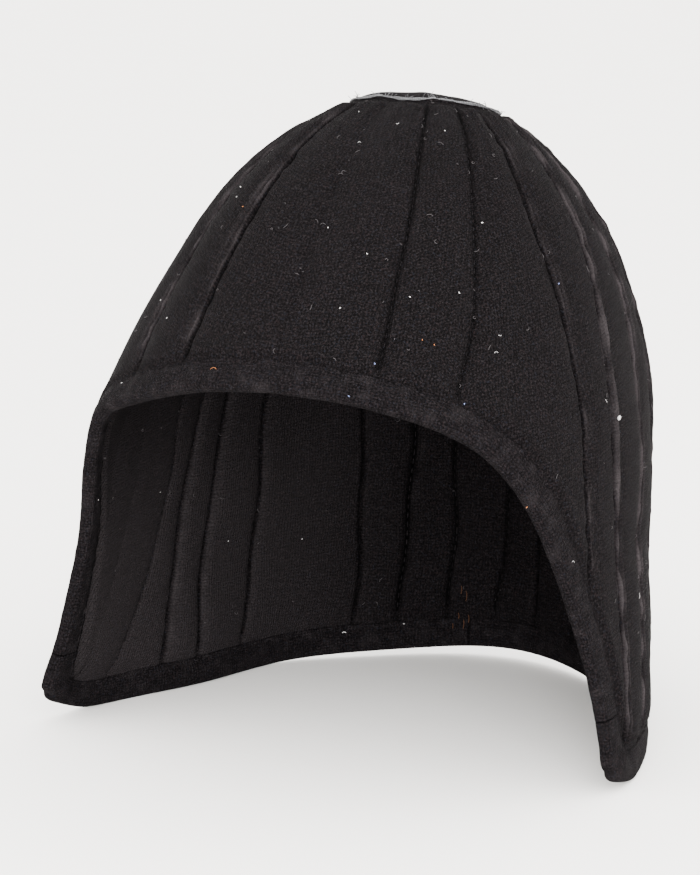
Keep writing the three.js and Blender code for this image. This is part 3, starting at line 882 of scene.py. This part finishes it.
def buildLint(shell, others):
    random.seed(looseMake["seed"])
    trees = [BVHTree.FromPolygons([v.co * 1000 for v in piece.data.vertices],
                                  [p.vertices for p in piece.data.polygons])
             for piece in (shell, *others)]
    eye, forward, right, up = cameraFrame()
    made = []
    for tone, colour in lintTones.items():
        bm = bmesh.new()
        for column, row, length, radius, kind in lint:
            if kind == tone:
                scale = cameraView["pixelsPerMetre"] * cameraView["distance"]
                x = (column - cameraView["targetPixel"][0]) / scale
                y = (cameraView["targetPixel"][1] - row) / scale
                way = (forward + right * x + up * y).normalized()
                hits = [hit for hit in (tree.ray_cast(eye * 1000, way) for tree in trees) if hit[0]]
                if hits:
                    place, normal, _, _ = min(hits, key=lambda hit: hit[3])
                    facing = normal if normal.dot(way) < 0 else -normal
                    layFibre(bm, place, facing, length, radius, tone == "brown")
        made.append((finishMesh(tone + "_lint", bm), colour))
    bm = bmesh.new()
    faces = shell.data.polygons
    for _ in range(looseMake["count"]):
        face = faces[random.randrange(len(faces))]
        length = random.uniform(looseMake["shortest"], looseMake["longest"])
        layFibre(bm, face.center * 1000, face.normal, length, looseMake["radius"])
    made.append((finishMesh("loose_fibres", bm), looseMake["colour"]))
    return made


def newMaterial(name, roughness, sheen=0.0):
    material = bpy.data.materials.new(name)
    material.use_nodes = True
    tree = material.node_tree
    shader = tree.nodes["Principled BSDF"]
    shader.inputs["Roughness"].default_value = roughness
    shader.inputs["Specular IOR Level"].default_value = 0.02
    shader.inputs["Sheen Weight"].default_value = sheen
    shader.inputs["Sheen Roughness"].default_value = 0.55
    return material, tree, shader


def mathNode(tree, operation, a, b=None):
    node = tree.nodes.new("ShaderNodeMath")
    node.operation = operation
    for socket, value in zip(node.inputs, (a, b)):
        if isinstance(value, (int, float)):
            socket.default_value = value
        elif value is not None:
            tree.links.new(value, socket)
    return node.outputs[0]


def mixColours(tree, factor, a, b):
    node = tree.nodes.new("ShaderNodeMix")
    node.data_type = "RGBA"
    for socket, value in zip((node.inputs["Factor"], node.inputs["A"], node.inputs["B"]), (factor, a, b)):
        if isinstance(value, (int, float)):
            socket.default_value = value
        elif isinstance(value, tuple):
            socket.default_value = (*value, 1)
        else:
            tree.links.new(value, socket)
    return node.outputs["Result"]


def noiseNode(tree, vector, scale, detail=2.0, rough=0.5):
    node = tree.nodes.new("ShaderNodeTexNoise")
    node.inputs["Scale"].default_value = scale
    node.inputs["Detail"].default_value = detail
    node.inputs["Roughness"].default_value = rough
    tree.links.new(vector, node.inputs["Vector"])
    return node.outputs["Fac"]


# Plain weave: two sets of round threads that pass over and under each other.
def canvasMaterial(name, look):
    material, tree, shader = newMaterial(name, look["roughness"])
    uv = tree.nodes.new("ShaderNodeUVMap")
    uv.uv_map = "weave"
    split = tree.nodes.new("ShaderNodeSeparateXYZ")
    tree.links.new(uv.outputs[0], split.inputs[0])
    coordinates = tree.nodes.new("ShaderNodeTexCoord").outputs["Object"]
    times, plus, minus, higher, lower = (
        partial(mathNode, tree, operation)
        for operation in ("MULTIPLY", "ADD", "SUBTRACT", "MAXIMUM", "MINIMUM"))

    def swing(scale, detail, amount):
        value = minus(noiseNode(tree, coordinates, scale, detail), 0.5)
        return times(value, amount)

    bend = plus(swing(look["bendScale"], 1.0, look["bend"]), swing(410.0, 2.0, 1.5))
    lean = plus(swing(45.0, 1.0, 2.4), swing(480.0, 2.0, 1.5))
    a = plus(mathNode(tree, "DIVIDE", split.outputs["X"], look["warpPitch"]), bend)
    b = plus(mathNode(tree, "DIVIDE", split.outputs["Y"], look["weftPitch"]), lean)

    def threads(across, along, start):
        centred = minus(mathNode(tree, "FRACT", across), 0.5)
        square = times(centred, centred)
        roundness = minus(1.0, times(square, 3.2))
        parity = plus(mathNode(tree, "FLOOR", across), start)
        shifted = plus(minus(along, 0.5), parity)
        over = mathNode(tree, "COSINE", times(shifted, math.pi))
        stretch = tree.nodes.new("ShaderNodeCombineXYZ")
        tree.links.new(mathNode(tree, "FLOOR", across), stretch.inputs[0])
        tree.links.new(times(along, 0.11), stretch.inputs[1])
        stretch.inputs[2].default_value = 7.0 * start
        slub = noiseNode(tree, stretch.outputs[0], 1.3, 1.0)
        lift = times(minus(slub, 0.5), look["slub"])
        raised = plus(roundness, times(over, 0.42))
        return plus(raised, lift), slub

    warp, warpSlub = threads(a, b, 0.0)
    weft, weftSlub = threads(b, a, 1.0)
    height = higher(warp, weft)
    fuzz = noiseNode(tree, coordinates, look["fuzzScale"], 3.0, 0.7)
    bumpHeight = plus(times(height, look["weaveDepth"]), times(fuzz, look["fuzzDepth"]))
    bump = tree.nodes.new("ShaderNodeBump")
    bump.inputs["Distance"].default_value = 1.0
    bump.inputs["Strength"].default_value = 1.0
    tree.links.new(bumpHeight, bump.inputs["Height"])
    tree.links.new(bump.outputs[0], shader.inputs["Normal"])
    # colour: dark between the threads, lighter with wear on the ridges, heathered, with odd fibres;
    # painted shade in the creases and painted light inside the right flap
    onTop = tree.nodes.new("ShaderNodeMapRange")
    onTop.inputs["From Min"].default_value = 0.7
    onTop.inputs["From Max"].default_value = 1.5
    tree.links.new(height, onTop.inputs["Value"])
    colour = mixColours(tree, onTop.outputs[0], look["deep"], look["top"])
    patch = minus(noiseNode(tree, coordinates, 24.0, 3.0, 0.6), 0.35)
    patch = times(patch, look["fading"])
    colour = mixColours(tree, higher(patch, 0.0), colour, look["faded"])
    for scale, least, amount, shade in look["heather"]:
        spots = minus(noiseNode(tree, coordinates, scale, 1.0), least)
        spots = times(higher(spots, 0.0), amount)
        colour = mixColours(tree, lower(spots, 0.85), colour, shade)
    wearPaintedShadeAndLight = tree.nodes.new("ShaderNodeAttribute")
    wearPaintedShadeAndLight.attribute_name = "wearPaintedShadeAndLight"
    # positive values are wear, and inside the right flap also painted light, both mixed towards the
    # lighter colour
    above = higher(wearPaintedShadeAndLight.outputs["Fac"], 0.0)
    rubbedAndPaintedLight = times(above, look["wear"])
    rubbedAndPaintedLight = times(rubbedAndPaintedLight, plus(fuzz, 0.3))
    colour = mixColours(tree, lower(rubbedAndPaintedLight, 0.8), colour, look["rubbedAndPaintedLight"])
    mixed = times(plus(warpSlub, weftSlub), look["slubTone"])
    colour = mixColours(tree, times(mixed, 0.35), colour, look["top"])
    # painted shade: negative values darken the creases to the deep colour
    paintedShade = times(lower(wearPaintedShadeAndLight.outputs["Fac"], 0.0), -1.0)
    colour = mixColours(tree, paintedShade, colour, look["deep"])
    tree.links.new(colour, shader.inputs["Base Color"])
    return material


canvasLook = {
    "roughness": 0.95,
    "warpPitch": 0.00125,
    "weftPitch": 0.00135,
    "bend": 2.0,
    "bendScale": 60.0,
    "slub": 0.6,
    "weaveDepth": 0.00042,
    "fuzzScale": 1300.0,
    "fuzzDepth": 0.00045,
    "deep": (0.0002, 0.0002, 0.0002),
    "top": (0.0046, 0.0038, 0.0041),
    "faded": (0.0056, 0.0047, 0.0051),
    "fading": 0.6,
    # spots: how many to the metre, from what value of the noise, how strong, colour
    "heather": [
        (1500.0, 0.52, 5.0, (0.0128, 0.0109, 0.0117)),
        (1250.0, 0.56, 5.0, (0.0104, 0.0070, 0.0074)),
        (1350.0, 0.57, 5.0, (0.0062, 0.0069, 0.0098)),
        (1700.0, 0.50, 6.0, (0.001, 0.0009, 0.001)),
    ],
    "wear": 0.8,
    "rubbedAndPaintedLight": (0.045, 0.039, 0.041),
    "slubTone": 0.6,
}
bindingLook = {**canvasLook, "warpPitch": 0.0013, "weftPitch": 0.00115,
               "top": (0.0052, 0.0043, 0.0048)}
palePlain = {**canvasLook, "deep": (0.03, 0.03, 0.032), "top": (0.15, 0.15, 0.157),
             "faded": (0.42, 0.42, 0.43), "heather": [], "wear": 0.0, "warpPitch": 0.0006,
             "weftPitch": 0.0006}
threadLook = {**canvasLook, "warpPitch": 0.0004, "weftPitch": 0.0004,
              "top": (0.014, 0.012, 0.013), "deep": (0.004, 0.0036, 0.004)}


canvas = canvasMaterial("black_canvas", canvasLook)
bindingCanvas = canvasMaterial("black_canvas_strip", bindingLook)

shell = buildShell()
shell.data.materials.append(canvas)
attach(shell, "root")
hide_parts("quilted_shell")

paleCloth = canvasMaterial("pale_raw_cloth", palePlain)
darkThread = canvasMaterial("black_thread", threadLook)


def thicken(piece, thickness):
    solidify = piece.modifiers.new("thickness", "SOLIDIFY")
    solidify.thickness = thickness * 0.001
    solidify.offset = -1


faceEdging, hemEdging = buildBindings()
for piece, node in ((faceEdging, "face_binding"), (hemEdging, "hem_binding")):
    piece.data.materials.append(bindingCanvas)
    thicken(piece, bindingMake["thickness"])
    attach(piece, "root")
    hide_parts(node)

crown = buildCrown()
crown.data.materials.append(canvas)
thicken(crown, crownMake["thickness"])
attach(crown, "root")
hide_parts("crown_piece")

rawEdge, frayed = buildFray()
quiltingStitches, bindingStitches = buildStitches()
for piece, look in ((rawEdge, paleCloth), (frayed, paleCloth),
                    (quiltingStitches, darkThread), (bindingStitches, darkThread)):
    piece.data.materials.append(look)
    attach(piece, "root")
for piece, colour in buildLint(shell, (faceEdging, hemEdging)):
    tinted, _, shader = newMaterial(piece.name, 0.9, 0.05)
    shader.inputs["Base Color"].default_value = (*colour, 1)
    piece.data.materials.append(tinted)
    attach(piece, "root")
thicken(rawEdge, frayMake["thickness"])

print("pieces seated and declared")

# floor, light and camera
studio = {
    "floor": (0.97, 0.955, 0.935),
    "floorHalf": 6.0,
    "sky": 5.1,
    "skyColour": (1.0, 0.985, 0.96),
    # lamps: place, size, watts
    "lamps": {
        "key": ((0.85, -1.4, 0.85), 0.9, 20.0),
        "rim": ((1.25, 0.75, 0.9), 0.8, 5.0),
        "low": ((0.7, -1.5, 0.15), 0.5, 47.0),
        "top": ((0.1, 0.5, 1.7), 1.2, 6.0),
    },
    "lampsAim": (0.0, 0.0, 0.1),
}


def plainMaterial(name, colour):
    material, tree, shader = newMaterial(name, 0.9)
    speckle = noiseNode(tree, tree.nodes.new("ShaderNodeTexCoord").outputs["Object"], 9.0, 4.0)
    darker = tuple(0.97 * c for c in colour)
    tree.links.new(mixColours(tree, speckle, darker, colour), shader.inputs["Base Color"])
    return material


def addStage():
    bm = bmesh.new()
    bmesh.ops.create_grid(bm, x_segments=1, y_segments=1, size=studio["floorHalf"])
    floor = finishMesh("floor", bm)
    floor.data.materials.append(plainMaterial("pale_floor", studio["floor"]))
    world = bpy.data.worlds.new("studio")
    world.use_nodes = True
    background = world.node_tree.nodes["Background"]
    background.inputs["Color"].default_value = (*studio["skyColour"], 1)
    background.inputs["Strength"].default_value = studio["sky"]
    bpy.context.scene.world = world
    for name, (place, size, watts) in studio["lamps"].items():
        light = bpy.data.lights.new(name, "AREA")
        light.size, light.energy = size, watts
        lamp = bpy.data.objects.new(name, light)
        lamp.location = place
        towards = Vector(studio["lampsAim"]) - Vector(place)
        lamp.rotation_euler = towards.to_track_quat("-Z", "Y").to_euler()
        bpy.context.scene.collection.objects.link(lamp)
    print("floor and lamps set")


def addCamera():
    view = cameraView
    eye, forward, _, _ = cameraFrame()
    data = bpy.data.cameras.new("camera")
    camera = bpy.data.objects.new("camera", data)
    camera.location = eye
    camera.rotation_euler = forward.to_track_quat("-Z", "Y").to_euler()
    width, height = view["frame"]
    data.sensor_width = view["sensor"]
    data.lens = view["pixelsPerMetre"] * view["distance"] * view["sensor"] / height
    data.shift_x = (width / 2 - view["targetPixel"][0]) / height
    data.shift_y = (view["targetPixel"][1] - height / 2) / height
    bpy.context.scene.collection.objects.link(camera)
    bpy.context.scene.camera = camera
    print("camera set")


addStage()
addCamera()
print("scene ready")
